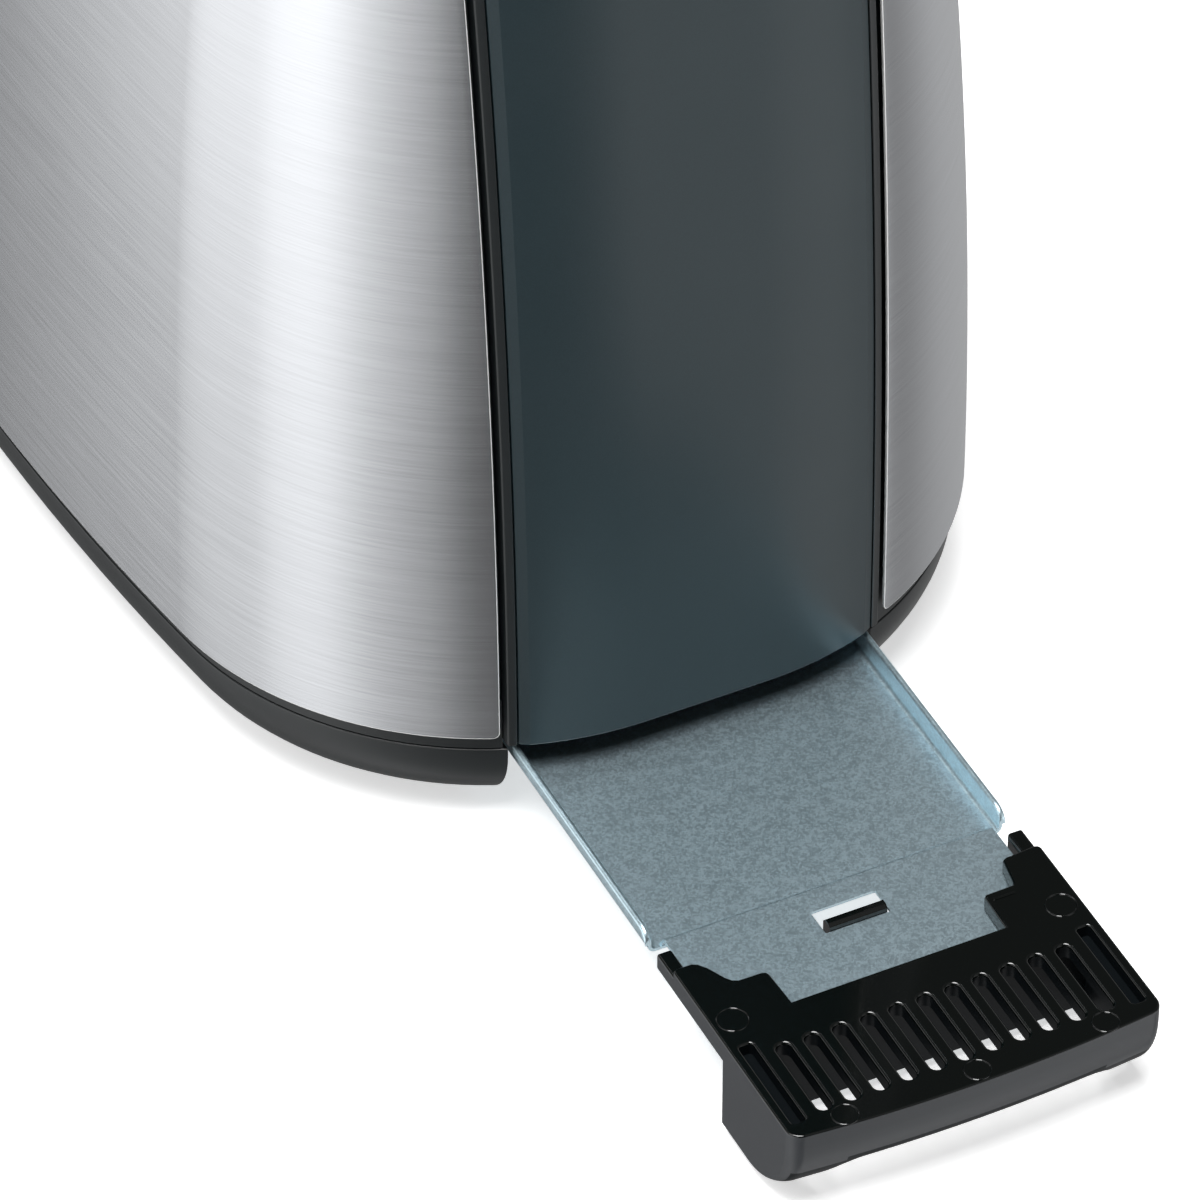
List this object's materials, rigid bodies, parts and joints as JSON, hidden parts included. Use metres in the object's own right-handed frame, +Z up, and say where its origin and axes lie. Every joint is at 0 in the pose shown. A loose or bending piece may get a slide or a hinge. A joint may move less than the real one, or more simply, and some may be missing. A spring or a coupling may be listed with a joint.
{
  "type": "pop up toaster",
  "caption": "Compact slotted toaster with leaning brushed steel sides, dark moulded ends and base, and a galvanised crumb tray pulled out of one end by its black grip.",
  "frame": {"origin": "centre of the footprint of the toaster with its tray pulled out, on the plane that it stands on", "axes": "+Z up, -Y towards the end that the crumb tray comes out of, +Y towards the lever and controls, +X across the slots"},
  "size_m": [0.1732, 0.4548, 0.206],
  "materials": {
    "steel_skin": "bright stainless sheet, brushed along its length",
    "panel_plastic": "satin anthracite moulding with a fine grain",
    "moulded_plastic": "satin dark grey moulding",
    "gloss_black": "glossy black moulding",
    "galvanised_sheet": "zinc coated steel sheet with a fine spangle",
    "wire": "bright drawn wire and turned parts",
    "mica": "pressed mica board with flat heating ribbon",
    "circuit_board": "lacquered circuit board",
    "rubber": "matte black rubber"
  },
  "bodies": {
    "casing": {"base": "moulded_plastic", "base_screw_front_left": "wire", "base_screw_front_right": "wire", "base_screw_rear_left": "wire", "base_screw_rear_right": "wire", "browning_control": "wire", "chassis_front": "galvanised_sheet", "chassis_rear": "galvanised_sheet", "circuit_board": "circuit_board", "control_panel": "panel_plastic", "cord_gland": "rubber", "electromagnet": "wire", "end_panel": "panel_plastic", "foot_front_left": "rubber", "foot_front_right": "rubber", "foot_rear_left": "rubber", "foot_rear_right": "rubber", "guide_rod": "wire", "heat_shield_left": "galvanised_sheet", "heat_shield_right": "galvanised_sheet", "heater_inner_left": "mica", "heater_inner_right": "mica", "heater_outer_left": "mica", "heater_outer_right": "mica", "housing": "moulded_plastic", "lift_spring": "wire", "rod_bracket": "galvanised_sheet", "side_panel_left": "steel_skin", "side_panel_right": "steel_skin", "slot_trim": "steel_skin", "terminal_block": "gloss_black", "top_cover": "moulded_plastic", "tray_rail_left": "galvanised_sheet", "tray_rail_right": "galvanised_sheet"},
    "crumb_tray": {"tray_sheet": "galvanised_sheet", "tray_handle": "gloss_black"},
    "lift": {"lift_carriage": "galvanised_sheet", "bread_support_left": "galvanised_sheet", "bread_support_right": "galvanised_sheet", "lever_arm": "galvanised_sheet", "lever_knob": "gloss_black", "magnet_keeper": "wire"},
    "guide_outer_left": {"bread_guide_outer_left": "wire"},
    "guide_inner_left": {"bread_guide_inner_left": "wire"},
    "guide_inner_right": {"bread_guide_inner_right": "wire"},
    "guide_outer_right": {"bread_guide_outer_right": "wire"},
    "browning_dial": {"browning_knob": "gloss_black"},
    "reheat": {"button_reheat": "gloss_black"},
    "defrost": {"button_defrost": "gloss_black"},
    "stop": {"button_stop": "gloss_black"}
  },
  "joints": [
    {"name": "crumb_tray_slide", "type": "slide", "parent": "casing", "child": "crumb_tray", "axis": [0, 1, 0], "range_m": [-0.15, 0.1035]},
    {"name": "lift_slide", "type": "slide", "parent": "casing", "child": "lift", "axis": [0, 0, 1], "range_m": [-0.08, 0], "stiffness_N_per_m": 150, "springref_m": 0.02, "deforming": ["lift_spring"]},
    {"name": "guide_outer_left_swing", "type": "hinge", "parent": "casing", "child": "guide_outer_left", "pos_m": [-0.0462, 0.02345, 0.036], "axis": [0, 1, 0], "range_deg": [0, 4.05]},
    {"name": "guide_inner_left_swing", "type": "hinge", "parent": "casing", "child": "guide_inner_left", "pos_m": [-0.0138, 0.02345, 0.036], "axis": [0, 1, 0], "range_deg": [-4.05, 0]},
    {"name": "guide_inner_right_swing", "type": "hinge", "parent": "casing", "child": "guide_inner_right", "pos_m": [0.0138, 0.02345, 0.036], "axis": [0, 1, 0], "range_deg": [0, 4.05]},
    {"name": "guide_outer_right_swing", "type": "hinge", "parent": "casing", "child": "guide_outer_right", "pos_m": [0.0462, 0.02345, 0.036], "axis": [0, 1, 0], "range_deg": [-4.05, 0]},
    {"name": "browning_dial_turn", "type": "hinge", "parent": "casing", "child": "browning_dial", "pos_m": [0, 0.20905, 0.045], "axis": [0, 1, 0], "range_deg": [-135, 135]},
    {"name": "reheat_press", "type": "slide", "parent": "casing", "child": "reheat", "axis": [0, -1, 0], "range_m": [0, 0.002], "stiffness_N_per_m": 300, "springref_m": -0.002},
    {"name": "defrost_press", "type": "slide", "parent": "casing", "child": "defrost", "axis": [0, -1, 0], "range_m": [0, 0.002], "stiffness_N_per_m": 300, "springref_m": -0.002},
    {"name": "stop_press", "type": "slide", "parent": "casing", "child": "stop", "axis": [0, -1, 0], "range_m": [0, 0.002], "stiffness_N_per_m": 300, "springref_m": -0.002}
  ],
  "couplings": [
    {"joint": "guide_outer_left_swing", "follows": "lift_slide", "rad_per_m": -0.8727},
    {"joint": "guide_inner_left_swing", "follows": "lift_slide", "rad_per_m": 0.8727},
    {"joint": "guide_inner_right_swing", "follows": "lift_slide", "rad_per_m": -0.8727},
    {"joint": "guide_outer_right_swing", "follows": "lift_slide", "rad_per_m": 0.8727}
  ]
}
